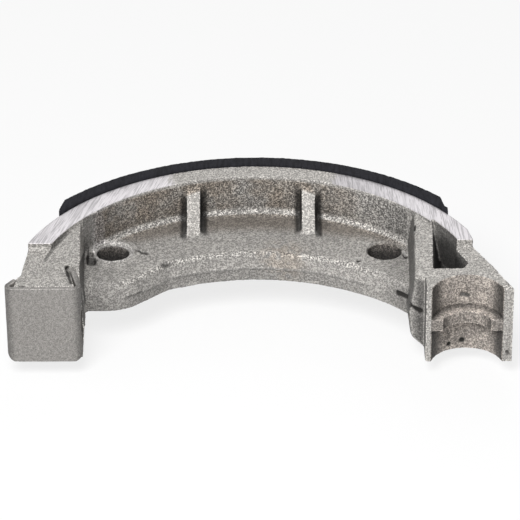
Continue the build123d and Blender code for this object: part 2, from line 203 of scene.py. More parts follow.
def shelter_of(obj, voxel, reach, rays):
    """Share of the space over each place that is blocked within reach, on a coarse copy, with the places."""
    coarse = bpy.data.objects.new("coarse", obj.data.copy())
    bpy.context.scene.collection.objects.link(coarse)
    apply_modifier(coarse, "REMESH", mode="VOXEL", voxel_size=voxel, adaptivity=0)
    places, normals = points_of(coarse), normals_of(coarse)
    faces = [tuple(polygon.vertices) for polygon in coarse.data.polygons]
    edges = np.zeros(len(coarse.data.edges) * 2, np.int32)
    coarse.data.edges.foreach_get("vertices", edges)
    first, second = edges.reshape(-1, 2).T
    tree = BVHTree.FromPolygons(places.tolist(), faces)
    bpy.data.meshes.remove(coarse.data)
    step = np.arange(rays) + 0.5
    lift = 1 - 2 * step / rays
    turn = step * math.pi * (3 - math.sqrt(5))
    flat = np.sqrt(1 - lift**2)
    sky = np.stack([flat * np.cos(turn), flat * np.sin(turn), lift], axis=1)
    shelter = np.zeros(len(places), np.float32)
    facing = np.clip(normals @ sky.T, 0, None)
    starts = places + normals * 0.3 * voxel
    for index, (start, weights) in enumerate(zip(starts.tolist(), facing)):
        shared = np.flatnonzero(weights > 0.1)
        hits = [tree.ray_cast(start, ray, reach)[0] is not None for ray in sky[shared].tolist()]
        shelter[index] = weights[shared] @ np.array(hits) / weights[shared].sum()
    count = np.bincount(first, minlength=len(places)) + np.bincount(second, minlength=len(places)) + 1
    for _ in range(2):
        around = np.bincount(first, shelter[second], len(places)) + np.bincount(second, shelter[first], len(places))
        shelter = (shelter + around) / count
    return shelter, places


def marks_weight(points, marks):
    """Weight near any of the marks, 1 on its line and 0 beyond its half width."""
    weight = np.zeros(len(points), np.float32)
    for start, end, width, depth in marks:
        start, end = np.array(start) * MM, np.array(end) * MM
        along = end - start
        share = np.clip((points - start) @ along / max(along @ along, 1e-12), 0, 1)
        distance = np.linalg.norm(points - start - share[:, None] * along, axis=1)
        weight = np.maximum(weight, depth * smoothstep(distance, width * MM, 0.4 * width * MM))
    return weight


def push(obj, name, weights, distance):
    """Moves the weighted surface outwards by a distance, or inwards by a negative one."""
    weight_group(obj, name, weights)
    apply_modifier(obj, "DISPLACE", direction="NORMAL", strength=distance, mid_level=0, vertex_group=name)


def keep_inside(obj, node):
    """Holds the surface within its CAD node's box."""
    corners = np.array(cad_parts[node].bound_box)
    points = np.clip(points_of(obj), corners.min(axis=0), corners.max(axis=0))
    obj.data.vertices.foreach_set("co", points.astype(np.float32).ravel())
    obj.data.update()


def store(obj, measures, sources):
    """Writes measured values as attributes, each vertex taking those of the nearest measured point."""
    tree = KDTree(len(sources))
    for index, place in enumerate(sources):
        tree.insert(place, index)
    tree.balance()
    nearest = [tree.find(place)[1] for place in points_of(obj)]
    for name, values in measures.items():
        attribute = obj.data.attributes.new(name, "FLOAT", "POINT")
        attribute.data.foreach_set("value", values[nearest].astype(np.float32))


def smooth_all(obj, angle=None):
    make_active(obj)
    if angle is None:
        bpy.ops.object.shade_smooth()
    else:
        bpy.ops.object.shade_smooth_by_angle(angle=math.radians(angle))


def dress(obj, node, material):
    """Puts the finished surface in the place of its CAD node."""
    obj.data.materials.clear()
    obj.data.materials.append(material)
    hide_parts(node)
    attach(obj, "root")
    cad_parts[node].data.materials.clear()
    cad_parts[node].data.materials.append(material)


# Node building


class Nodes:
    """Short calls for building one material's node tree."""

    def __init__(self, name):
        self.material = bpy.data.materials.new(name)
        self.material.use_nodes = True
        self.tree = self.material.node_tree
        self.shader = self.tree.nodes["Principled BSDF"]
        self.place = self.tree.nodes.new("ShaderNodeTexCoord").outputs["Object"]

    def link(self, source, socket):
        if isinstance(source, bpy.types.NodeSocket):
            self.tree.links.new(source, socket)
        else:
            socket.default_value = source

    def math(self, operation, *inputs, clamp=False):
        node = self.tree.nodes.new("ShaderNodeMath")
        node.operation = operation
        node.use_clamp = clamp
        for socket, value in zip(node.inputs, inputs):
            self.link(value, socket)
        return node.outputs[0]

    def vector(self, operation, *inputs):
        node = self.tree.nodes.new("ShaderNodeVectorMath")
        node.operation = operation
        for socket, value in zip(node.inputs, inputs):
            self.link(value, socket)
        return node.outputs["Value" if operation in ("LENGTH", "DOT_PRODUCT", "DISTANCE") else "Vector"]

    def split(self, source):
        node = self.tree.nodes.new("ShaderNodeSeparateXYZ")
        self.link(source, node.inputs[0])
        return node.outputs[0], node.outputs[1], node.outputs[2]

    def join(self, x, y, z):
        node = self.tree.nodes.new("ShaderNodeCombineXYZ")
        for socket, value in zip(node.inputs, (x, y, z)):
            self.link(value, socket)
        return node.outputs[0]

    def ramp(self, source, low, high):
        """0 below low, 1 above high, smooth between; high may be the smaller."""
        node = self.tree.nodes.new("ShaderNodeMapRange")
        node.interpolation_type = "SMOOTHSTEP"
        flip = high < low
        self.link(source, node.inputs["Value"])
        node.inputs["From Min"].default_value = min(low, high)
        node.inputs["From Max"].default_value = max(low, high)
        node.inputs["To Min"].default_value = 1.0 if flip else 0.0
        node.inputs["To Max"].default_value = 0.0 if flip else 1.0
        return node.outputs["Result"]

    def noise(self, size, detail=3.0, rough=0.55, stretch=(1, 1, 1), source=None):
        """Noise whose features are about size metres across."""
        mapping = self.tree.nodes.new("ShaderNodeMapping")
        mapping.inputs["Scale"].default_value = stretch
        self.link(source or self.place, mapping.inputs["Vector"])
        node = self.tree.nodes.new("ShaderNodeTexNoise")
        self.tree.links.new(mapping.outputs[0], node.inputs["Vector"])
        node.inputs["Scale"].default_value = 1 / size
        node.inputs["Detail"].default_value = detail
        node.inputs["Roughness"].default_value = rough
        return node.outputs["Fac"]

    def attribute(self, name):
        node = self.tree.nodes.new("ShaderNodeAttribute")
        node.attribute_name = name
        return node.outputs["Fac"]

    def cells(self, size, smooth=0.0):
        """Distance from the nearest of scattered points about size metres apart."""
        node = self.tree.nodes.new("ShaderNodeTexVoronoi")
        self.link(self.place, node.inputs["Vector"])
        node.inputs["Scale"].default_value = 1 / size
        return node.outputs["Distance"]

    def scaled(self, value, low, high):
        """low where the value is 0, high where it is 1."""
        return self.math("MULTIPLY_ADD", value, high - low, low)

    def both(self, *values):
        result = values[0]
        for value in values[1:]:
            result = self.math("MULTIPLY", result, value)
        return result

    def mix(self, factor, first, second):
        node = self.tree.nodes.new("ShaderNodeMix")
        node.data_type = "RGBA"
        self.link(factor, node.inputs["Factor"])
        self.link(first, node.inputs[6])
        self.link(second, node.inputs[7])
        return node.outputs[2]

    def shade(self, colour, factor):
        """Colour multiplied by a grey factor."""
        grey = self.join(factor, factor, factor)
        node = self.tree.nodes.new("ShaderNodeMix")
        node.data_type = "RGBA"
        node.blend_type = "MULTIPLY"
        node.inputs["Factor"].default_value = 1.0
        self.link(colour, node.inputs[6])
        self.link(grey, node.inputs[7])
        return node.outputs[2]

    def bump(self, height, distance, normal=None):
        node = self.tree.nodes.new("ShaderNodeBump")
        node.inputs["Distance"].default_value = distance
        self.link(height, node.inputs["Height"])
        if normal is not None:
            self.tree.links.new(normal, node.inputs["Normal"])
        return node.outputs[0]

    def spot(self, centre, inner, outer, flat=False):
        """1 within inner metres of a point, 0 beyond outer; flat measures in the plan only."""
        offset = self.vector("SUBTRACT", self.place, tuple(centre))
        if flat:
            offset = self.vector("MULTIPLY", offset, (1, 1, 0))
        return self.ramp(self.vector("LENGTH", offset), outer, inner)


def cast_material(settings):
    n = Nodes("cast_aluminium")
    x, y, z = n.split(n.place)
    plan = n.vector("MULTIPLY", n.vector("SUBTRACT", n.place, tuple(DRUM_AXIS)), (1, 1, 0))
    radius = n.vector("LENGTH", plan)
    plan_x, plan_y, _ = n.split(plan)
    angle = n.math("ARCTAN2", plan_x, plan_y)
    high = n.math("ABSOLUTE", z)
    hollow = n.attribute("hollow")
    crease = n.ramp(hollow, 0.04, 0.45)
    sharp_edge = n.ramp(hollow, -0.06, -0.2)
    shelter = n.ramp(n.attribute("shelter"), 0.3, 0.85)
    flank = n.attribute("flank")

    # The rim's side faces are machined towards both ends, and left as cast in the middle
    on_face = n.ramp(high, RIM_TOP - 0.2 * MM, RIM_TOP - 0.08 * MM)
    streaks = n.noise(0.9 * MM, detail=3, rough=0.7, stretch=(1.0, 0.12, 1))
    wander = n.scaled(n.noise(2.5 * MM), -0.03, 0.03)
    wander = n.math("ADD", wander, n.scaled(streaks, -0.07, 0.07))
    from_middle = n.math("ADD", n.math("ABSOLUTE", n.math("ADD", angle, math.radians(0.5))), wander)
    machined = n.both(on_face, n.ramp(from_middle, math.radians(20), math.radians(23)))
    outside = n.ramp(radius, RIM_OUTER - 0.2 * MM, RIM_OUTER - 0.08 * MM)
    outside = n.both(outside, n.ramp(n.math("ABSOLUTE", angle), math.radians(71), math.radians(69)))
    bright = n.math("MAXIMUM", machined, outside)

    from_pin = n.vector("LENGTH", n.vector("MULTIPLY", n.place, (1, 1, 0)))
    bore = n.ramp(from_pin, SEAT_RADIUS + 0.35 * MM, SEAT_RADIUS + 0.15 * MM)
    aside = n.ramp(n.math("ABSOLUTE", x), 6.8 * MM, 10.4 * MM)
    near_hole = n.vector("LENGTH", n.vector("MULTIPLY", n.vector("SUBTRACT", n.place, tuple(HOLES[0])), (1, 1, 0)))
    near_other = n.vector("LENGTH", n.vector("MULTIPLY", n.vector("SUBTRACT", n.place, tuple(HOLES[1])), (1, 1, 0)))
    left_hole = near_hole
    near_hole = n.math("MINIMUM", near_hole, near_other)
    between_ends = n.both(n.ramp(x, -118 * MM, -116 * MM), n.ramp(x, -17.2 * MM, -17.6 * MM))
    rib = n.math("MINIMUM", n.math("ABSOLUTE", n.math("ADD", x, 85.8 * MM)), n.math("ABSOLUTE", n.math("ADD", x, 48.7 * MM)))
    rib_side = n.both(n.ramp(rib, 4.9 * MM, 3.7 * MM), n.ramp(rib, 1.9 * MM, 2.3 * MM), n.ramp(radius, 55 * MM, 58 * MM), n.ramp(high, 16 * MM, 12 * MM))
    rib = n.both(n.ramp(rib, 2.25 * MM, 1.9 * MM), n.ramp(high, 4.3 * MM, 5.0 * MM), n.ramp(radius, RIM_INNER - 0.3 * MM, RIM_INNER - 1 * MM))
    seam = n.both(n.ramp(n.math("ABSOLUTE", n.math("SUBTRACT", z, PARTING_HEIGHT)), 0.45 * MM, 0.2 * MM), n.ramp(radius, 48 * MM, 46 * MM), between_ends)
    front_edge = n.both(n.ramp(hollow, -0.015, -0.08), n.ramp(z, 1.5 * MM, 2.5 * MM), n.ramp(radius, 50 * MM, 48 * MM), between_ends)
    under_seam = n.both(n.ramp(z, PARTING_HEIGHT, PARTING_HEIGHT - 0.5 * MM), n.ramp(radius, 48 * MM, 46 * MM), between_ends)
    hole_wall = n.both(n.ramp(near_hole, 5.6 * MM, 5.4 * MM), n.ramp(high, 4.0 * MM, 3.2 * MM))
    hole_lip = n.both(n.ramp(left_hole, 7.0 * MM, 6.4 * MM), n.ramp(high, 3.0 * MM, 3.8 * MM))
    collar_edge = n.both(n.ramp(from_pin, 9.6 * MM, 9.0 * MM), n.ramp(n.math("ABSOLUTE", n.math("SUBTRACT", high, 2.0 * MM)), 0.45 * MM, 0.2 * MM))
    collar_face = n.both(n.ramp(from_pin, 9.6 * MM, 9.0 * MM), n.ramp(high, 1.9 * MM, 1.5 * MM))
    collar_line = n.both(bore, n.ramp(from_pin, 10.0 * MM, 10.8 * MM), n.ramp(n.math("ABSOLUTE", n.math("SUBTRACT", high, 2.6 * MM)), 0.9 * MM, 0.3 * MM))

    # Places inside the channel: the rim's inner wall, its root and the sunk strip before it
    inner = n.both(between_ends, n.ramp(radius, RIM_INNER + 0.9 * MM, RIM_INNER + 0.3 * MM), n.ramp(high, RIM_TOP - 0.4 * MM, RIM_TOP - 1.6 * MM))
    wall = n.both(inner, n.ramp(radius, RIM_INNER - 1.8 * MM, RIM_INNER - 0.8 * MM), n.ramp(high, 5.2 * MM, 7.2 * MM))
    root = n.both(inner, n.ramp(radius, RIM_INNER - 3.0 * MM, RIM_INNER - 2.2 * MM), n.ramp(high, 6.6 * MM, 5.4 * MM), n.ramp(high, 3.9 * MM, 4.3 * MM))
    from_band = n.vector("LENGTH", n.vector("MULTIPLY", n.vector("SUBTRACT", n.place, tuple(BAND_CENTRE)), (1, 1, 0)))
    strip = n.both(inner, n.ramp(from_band, BAND_RADIUS - 0.4 * MM, BAND_RADIUS + 7 * MM), n.ramp(high, 4.6 * MM, 4.2 * MM))

    edge = n.math("MAXIMUM", sharp_edge, front_edge)

    # Painted shade: both ends of the channel, the window, the recess beside the seat and the pad's curved step are
    # darkened
    channel_ends = n.math("MAXIMUM", n.ramp(x, -102 * MM, -117 * MM), n.ramp(x, -30 * MM, -18 * MM))
    window = n.both(
        n.ramp(x, -13.2 * MM, -12.4 * MM), n.ramp(y, 17 * MM, 17.8 * MM), n.ramp(high, 13.2 * MM, 12.2 * MM),
        n.ramp(radius, RIM_INNER + 0.7 * MM, RIM_INNER + 0.2 * MM),
    )
    recess = n.both(n.ramp(x, -18 * MM, -14.2 * MM), n.ramp(x, -13.0 * MM, -13.4 * MM), n.ramp(y, 12.2 * MM, 11.2 * MM), n.ramp(high, 13 * MM, 11 * MM))
    step = n.both(
        n.ramp(angle, math.radians(-58), math.radians(-61)), n.ramp(radius, RIM_INNER - 1 * MM, RIM_INNER - 0.4 * MM),
        n.ramp(radius, RIM_INNER + 0.5 * MM, RIM_INNER + 0.2 * MM), n.ramp(high, RIM_TOP - 0.1 * MM, RIM_TOP - 0.4 * MM),
        n.ramp(high, RIM_TOP - 3 * MM, RIM_TOP - 2.6 * MM),
    )

    # Grain: dark and light speckles of the sand, over broader stains, then painted shade and painted light by place
    fine = n.noise(0.4 * MM, detail=1, rough=0.6)
    grain = n.noise(0.8 * MM, detail=2, rough=0.6)
    blotch = n.noise(9 * MM, detail=3)
    cloud = n.noise(3.2 * MM, detail=2)
    pits = n.ramp(n.cells(0.95 * MM), 0.34, 0.1)
    speckle = n.math("ADD", n.math("MULTIPLY", fine, 0.55), n.math("MULTIPLY", grain, 0.55))
    speckle = n.ramp(speckle, 0.45, 0.66)
    strong = n.math("MAXIMUM", n.math("MAXIMUM", wall, root), n.math("MAXIMUM", edge, n.math("MAXIMUM", hole_lip, hole_wall)))
    strong = n.math("MAXIMUM", strong, n.both(bore, 0.3))
    swing = n.scaled(strong, 0.8, 1.25)
    tone = n.math("ADD", 1.0, n.both(n.math("SUBTRACT", speckle, 0.5), swing))
    tone = n.both(tone, n.scaled(blotch, 0.86, 1.12), n.scaled(cloud, 0.9, 1.1))
    tone = n.both(tone, n.scaled(n.both(pits, strong), 1.0, 0.55))
    # Painted shade on the rim's inner wall and on the sunk strip before it, whose brown stain is mixed in below;
    # painted highlight on the root fillet
    tone = n.both(tone, n.scaled(wall, 1, 0.9), n.scaled(root, 1, 1.35), n.scaled(strip, 1, 0.6))
    # Painted shade in creases and deep inside the holes; edges lighter, partly as rubbed metal and partly as painted
    # highlight
    tone = n.both(tone, n.scaled(crease, 1, 0.6), n.scaled(edge, 1, 1.4), n.scaled(n.both(hole_wall, n.ramp(z, 3.4 * MM, -1.2 * MM)), 1, 0.22))
    # Painted light on the ribs' faces and on the rim's side faces; darker along the parting line and just below it
    tone = n.both(tone, n.scaled(rib, 1, 1.25), n.scaled(on_face, 1, 1.2), n.scaled(seam, 1, 0.45), n.scaled(under_seam, 1, 0.88))
    # Painted shade in sheltered places, except on the root fillet
    tone = n.both(tone, n.scaled(n.both(shelter, n.math("SUBTRACT", 1, root)), 1, 0.3), n.scaled(hole_lip, 1, 1.3))
    # Painted light: lighter towards the pivot end
    tone = n.both(tone, n.scaled(n.ramp(x, -75 * MM, -12 * MM), 1, 1.13))
    # Painted shade on faces turned sideways, at both ends of the channel and inside the window
    tone = n.both(tone, n.scaled(flank, 1, 0.3), n.scaled(n.both(inner, channel_ends), 1, 0.78), n.scaled(window, 1, 0.5))
    # Painted shade in the recess beside the seat, on the pad's curved step and in the crease round the collar; painted
    # highlight on the collar's edge
    tone = n.both(tone, n.scaled(recess, 1, 0.38), n.scaled(step, 1, 0.45), n.scaled(collar_edge, 1, 1.2), n.scaled(collar_line, 1, 0.45))
    # The collar's face is darker; painted shade beside the ribs
    tone = n.both(tone, n.scaled(collar_face, 1, 0.78), n.scaled(n.both(rib_side, inner), 1, 0.16))
    # The web's top is darker, partly as darker skin and partly as painted shade under the rim
    web = n.both(n.ramp(high, 4.6 * MM, 4.3 * MM), between_ends)
    tone = n.both(tone, n.scaled(web, 1, 0.92))
    cast = n.shade((*settings.cast_colour, 1), tone)

    stain = n.both(wall, n.ramp(n.noise(13 * MM, detail=3), 0.3, 0.6), n.scaled(cloud, 0.7, 1.1), n.ramp(x, -22 * MM, -50 * MM))
    cast = n.mix(n.math("MULTIPLY", stain, 0.8, clamp=True), cast, n.shade((*settings.stain_colour, 1), tone))
    front_stain = n.both(n.spot((-57 * MM, 41 * MM, 2 * MM), 3 * MM, 11 * MM), n.ramp(cloud, 0.35, 0.55))
    cast = n.mix(n.math("MULTIPLY", front_stain, 0.45), cast, n.shade((*settings.stain_colour, 1), n.math("MULTIPLY", tone, 1.15)))
    strip_stain = n.math("MULTIPLY", strip, 0.5)
    cast = n.mix(strip_stain, cast, n.shade((*settings.stain_colour, 1), n.math("MULTIPLY", tone, 1.2)))
    # Painted shade on both sides of the seat, and darker in random patches
    bore_tone = n.both(tone, n.scaled(aside, 1, 0.5), n.scaled(n.ramp(cloud, 0.6, 0.42), 1, 0.75))
    cast = n.mix(n.math("MULTIPLY", bore, 0.75), cast, n.shade((*settings.bore_colour, 1), bore_tone))
    cast = n.mix(n.math("MULTIPLY", hole_wall, 0.6), cast, n.shade((*settings.bore_colour, 1), tone))
    cast = n.mix(n.math("MULTIPLY", hole_lip, 0.3), cast, n.shade((*settings.machined_colour, 1), tone))

    # Cutter marks run slantwise over the machined faces, and steeper at the pivot end
    slope = n.scaled(n.ramp(x, -75 * MM, -55 * MM), -0.3, 0.06)
    slanted = n.vector("ADD", n.place, n.join(n.math("MULTIPLY", y, slope), 0, 0))
    marks = n.noise(0.4 * MM, detail=2, rough=0.7, stretch=(1.0, 0.05, 1), source=slanted)
    wide_marks = n.noise(1.3 * MM, detail=2, rough=0.6, stretch=(1.0, 0.05, 1), source=slanted)
    right_end = n.ramp(x, -60 * MM, -50 * MM)
    between_marks = n.scaled(right_end, 1, 0.94)
    mark_line = n.both(n.ramp(marks, 0.38, 0.52), n.scaled(n.ramp(wide_marks, 0.34, 0.5), 0.55, 1))
    mark_tone = n.math("SUBTRACT", 1.12, n.both(n.math("SUBTRACT", 1, mark_line), n.scaled(right_end, 0.4, 0.44)))
    dull = n.both(n.ramp(from_middle, math.radians(46), math.radians(26)), right_end)
    metal = n.shade((*settings.machined_colour, 1), n.both(mark_tone, between_marks, n.scaled(dull, 1, 0.78)))
    colour = n.mix(bright, cast, metal)
    # Painted shade: the dents are painted near black, except on machined faces
    dark = n.both(n.attribute("pit"), n.math("SUBTRACT", 1, machined))
    colour = n.mix(n.math("MULTIPLY", dark, 1.3, clamp=True), colour, (0.02, 0.018, 0.016, 1))
    # Painted highlight: the raised burrs and flash lines are painted light grey
    colour = n.mix(n.math("MULTIPLY", n.attribute("burr_highlight"), 0.6), colour, n.shade((0.6, 0.58, 0.55, 1), n.scaled(speckle, 0.6, 1.1)))
    n.link(colour, n.shader.inputs["Base Color"])

    n.link(n.math("ADD", settings.cast_metal, n.math("MULTIPLY", bright, 0.25)), n.shader.inputs["Metallic"])
    rough = n.math("SUBTRACT", 0.62, n.math("MULTIPLY", bright, 0.2))
    n.link(n.math("ADD", rough, n.math("MULTIPLY", fine, 0.1)), n.shader.inputs["Roughness"])
    cast_share = n.math("SUBTRACT", 1, bright)
    grain_height = n.both(n.math("SUBTRACT", speckle, n.math("MULTIPLY", pits, 0.5)), cast_share, n.scaled(strong, 0.5, 1))
    grain_bump = n.bump(grain_height, 0.3 * MM)
    mark_bump = n.bump(n.math("MULTIPLY", marks, bright), 0.06 * MM, grain_bump)
    n.link(mark_bump, n.shader.inputs["Normal"])
    return n.material


def lining_material(settings):
    n = Nodes("lining_compound")
    _, _, z = n.split(n.place)
    fine = n.noise(0.5 * MM, detail=4, rough=0.7)
    coarse = n.noise(2.5 * MM, detail=3)
    sawn = n.noise(0.9 * MM, detail=3, rough=0.65, stretch=(1, 0.15, 0.15))
    flecks = n.ramp(n.noise(0.8 * MM, detail=2, rough=0.8), 0.66, 0.74)
    tone = n.math("ADD", n.scaled(fine, 0.3, 1.1), n.scaled(coarse, -0.1, 0.3))
    tone = n.both(tone, n.scaled(n.ramp(sawn, 0.35, 0.6), 0.7, 1.2))
    colour = n.shade((*settings.lining_colour, 1), tone)
    colour = n.mix(n.math("MULTIPLY", flecks, 0.25), colour, (0.07, 0.07, 0.085, 1))
    n.link(colour, n.shader.inputs["Base Color"])
    n.shader.inputs["Roughness"].default_value = 0.85
    n.shader.inputs["Specular IOR Level"].default_value = 0.2
    height = n.math("ADD", fine, n.math("ADD", n.math("MULTIPLY", coarse, 0.5), n.math("MULTIPLY", sawn, 0.6)))
    n.link(n.bump(height, 0.2 * MM), n.shader.inputs["Normal"])
    return n.material


def cap_material(settings):
    n = Nodes("cap_steel")
    edge = n.ramp(n.attribute("hollow"), -0.04, -0.25)
    fine = n.noise(0.42 * MM, detail=2, rough=0.7)
    grain = n.noise(1.1 * MM, detail=3)
    blotch = n.noise(7 * MM, detail=2)
    tone = n.math("ADD", n.scaled(n.ramp(fine, 0.35, 0.65), -0.28, 0.28), n.scaled(n.ramp(grain, 0.35, 0.65), -0.14, 0.14))
    tone = n.math("ADD", n.math("ADD", tone, n.scaled(blotch, -0.07, 0.07)), 1.0)
    x, _, _ = n.split(n.place)
    # Painted shade on the cap's rounded sides
    aside = n.ramp(n.math("ABSOLUTE", n.math("ADD", x, 131.4 * MM)), 8.6 * MM, 11.6 * MM)
    tone = n.both(tone, n.scaled(aside, 1, 0.55))
    glints = n.both(edge, n.ramp(n.noise(1.3 * MM, detail=2), 0.48, 0.58))
    tone = n.both(tone, n.scaled(glints, 1, 2.1))
    n.link(n.shade((*settings.cap_colour, 1), tone), n.shader.inputs["Base Color"])
    n.shader.inputs["Metallic"].default_value = 0.4
    n.link(n.scaled(grain, 0.5, 0.62), n.shader.inputs["Roughness"])
    n.link(n.bump(n.math("ADD", fine, grain), 0.05 * MM), n.shader.inputs["Normal"])
    return n.material


# Settings shown in the sidebar


class BrakeShoeSettings(bpy.types.PropertyGroup):
    cast_colour: FloatVectorProperty(
        name="Cast colour", description="Sand-cast aluminium", subtype="COLOR", default=(0.385, 0.369, 0.348), min=0, max=1
    )
    stain_colour: FloatVectorProperty(
        name="Stain colour", description="Brown stain inside the rim", subtype="COLOR", default=(0.29, 0.238, 0.187), min=0, max=1
    )
    bore_colour: FloatVectorProperty(
        name="Bore colour", description="Seat of the pivot pin", subtype="COLOR", default=(0.385, 0.337, 0.298), min=0, max=1
    )
    machined_colour: FloatVectorProperty(
        name="Machined colour", description="Freshly cut aluminium", subtype="COLOR", default=(0.61, 0.586, 0.602), min=0, max=1
    )
    lining_colour: FloatVectorProperty(
        name="Lining colour", description="Friction compound", subtype="COLOR", default=(0.02, 0.02, 0.0245), min=0, max=1
    )
    cap_colour: FloatVectorProperty(
        name="Cap colour", description="Dull sheet steel", subtype="COLOR", default=(0.265, 0.253, 0.239), min=0, max=1
    )
    cast_metal: FloatProperty(
        name="Cast metallic", description="How metallic the cast skin looks", subtype="FACTOR", default=0.2, min=0, max=1
    )
    grain_depth: FloatProperty(
        name="Grain depth", description="Height of the sand grain", subtype="DISTANCE", default=0.22 * MM, min=0, max=1 * MM
    )
    key_power: FloatProperty(name="Key light", description="Soft light from above and in front", subtype="POWER", default=8, min=0)
    back_power: FloatProperty(name="Back light", description="Weak light from behind", subtype="POWER", default=1.2, min=0)


# Pieces


class BRAKESHOE_OT_casting(bpy.types.Operator):
    """Build the sand-cast surface with softened edges and real grain"""

    bl_idname = "brakeshoe.casting"
    bl_label = "Casting"

    def execute(self, context):
        settings = context.scene.brake_shoe
        obj = copy_of_node("shoe_casting", "casting_surface")
        apply_modifier(obj, "REMESH", mode="VOXEL", voxel_size=0.3 * MM, adaptivity=0)
        apply_modifier(obj, "SMOOTH", factor=0.5, iterations=2)
        points = points_of(obj)
        plan = points[:, :2] - np.array(DRUM_AXIS[:2])
        radius = np.hypot(plan[:, 0], plan[:, 1])
        angle = np.abs(np.degrees(np.arctan2(plan[:, 0], plan[:, 1])))
        height = np.abs(points[:, 2])
        on_face = np.clip((height - RIM_TOP + 0.5 * MM) / (0.3 * MM), 0, 1) * np.clip((angle - 20) / 3, 0, 1)
        outside = np.clip((radius - RIM_OUTER + 0.5 * MM) / (0.3 * MM), 0, 1)
        bore = np.clip((SEAT_RADIUS + 0.8 * MM - np.hypot(points[:, 0], points[:, 1])) / (0.4 * MM), 0, 1)
        cut = np.maximum(np.maximum(on_face, outside), bore)
        # Creases and edges, for the painted shade in creases and the lighter edges
        hollow = hollows_of(obj, 30) / MM
        normals = np.abs(normals_of(obj))
        upright = 1 - normals[:, 2]
        # Faces turned sideways inside the channel, for painted shade there
        flank = smoothstep(normals[:, 0], 0.6, 0.92) * (points[:, 0] > -120.5 * MM) * (points[:, 0] < 11.8 * MM)
        seam = smoothstep(np.abs(points[:, 2] - PARTING_HEIGHT), 0.5 * MM, 0.15 * MM)
        seam *= smoothstep(upright, 0.5, 0.8) * (radius < 47 * MM) * (angle < 52)
        dents = marks_weight(points, DENTS)
        from_hole = np.hypot(points[:, 0] - HOLES[0].x, points[:, 1] - HOLES[0].y)
        lip = smoothstep(np.abs(from_hole - 6.0 * MM), 1.1 * MM, 0.3 * MM) * (height > 3.6 * MM) * (height < 5 * MM)
        bumps = np.maximum(marks_weight(points, BUMPS), np.maximum(0.7 * seam, lip))
        weight_group(obj, "cast", 1 - cut)
        roughen(obj, "sand_grain", 0.8 * MM, settings.grain_depth, "cast")
        roughen(obj, "mould_waves", 4 * MM, 0.24 * MM, "cast")
        push(obj, "dents", dents, -0.55 * MM)
        push(obj, "bumps", bumps, 0.5 * MM)
        sources = points_of(obj)
        faces = len(obj.data.polygons) * 2
        weight_group(obj, "marks", np.maximum(dents, bumps) > 0.02)
        apply_modifier(
            obj,
            "DECIMATE",
            decimate_type="COLLAPSE",
            ratio=min(1, 190000 / faces),
            vertex_group="marks",
            invert_vertex_group=True,
            vertex_group_factor=1,
        )
        keep_inside(obj, "shoe_casting")
        store(obj, {"hollow": hollow, "flank": flank, "pit": dents, "burr_highlight": bumps}, sources)
        # How sheltered each place is, for the painted shade in the cast material
        shelter, places = shelter_of(obj, 1.0 * MM, 22 * MM, 48)
        store(obj, {"shelter": shelter}, places)
        smooth_all(obj)
        dress(obj, "shoe_casting", cast_material(settings))
        return {"FINISHED"}


class BRAKESHOE_OT_lining(bpy.types.Operator):
    """Build the friction lining with sawn edges"""

    bl_idname = "brakeshoe.lining"
    bl_label = "Lining"

    def execute(self, context):
        settings = context.scene.brake_shoe
        obj = copy_of_node("friction_lining", "lining_surface")
        apply_modifier(obj, "REMESH", mode="VOXEL", voxel_size=0.35 * MM, adaptivity=0)
        apply_modifier(obj, "SMOOTH", factor=0.5, iterations=2)
        weight_group(obj, "free", np.clip((18.9 * MM - np.abs(points_of(obj)[:, 2])) / (0.4 * MM), 0.6, 1))
        roughen(obj, "lining_chips", 1.2 * MM, 0.26 * MM, "free")
        faces = len(obj.data.polygons) * 2
        apply_modifier(obj, "DECIMATE", decimate_type="COLLAPSE", ratio=min(1, 70000 / faces))
        keep_inside(obj, "friction_lining")
        smooth_all(obj)
        dress(obj, "friction_lining", lining_material(settings))
        return {"FINISHED"}


class BRAKESHOE_OT_cap(bpy.types.Operator):
    """Build the bent sheet-steel cap with rounded edges and painted glints along them"""

    bl_idname = "brakeshoe.cap"
    bl_label = "Wear cap"

    def execute(self, context):
        settings = context.scene.brake_shoe
        obj = copy_of_node("cam_cap", "cap_surface")
        apply_modifier(obj, "REMESH", mode="VOXEL", voxel_size=0.18 * MM, adaptivity=0)
        apply_modifier(obj, "SMOOTH", factor=0.5, iterations=4)
        hollow = hollows_of(obj, 40) / MM
        roughen(obj, "cap_waves", 6 * MM, 0.2 * MM)
        sources = points_of(obj)
        faces = len(obj.data.polygons) * 2
        apply_modifier(obj, "DECIMATE", decimate_type="COLLAPSE", ratio=min(1, 40000 / faces))
        keep_inside(obj, "cam_cap")
        store(obj, {"hollow": hollow}, sources)
        smooth_all(obj)
        dress(obj, "cam_cap", cap_material(settings))
        return {"FINISHED"}


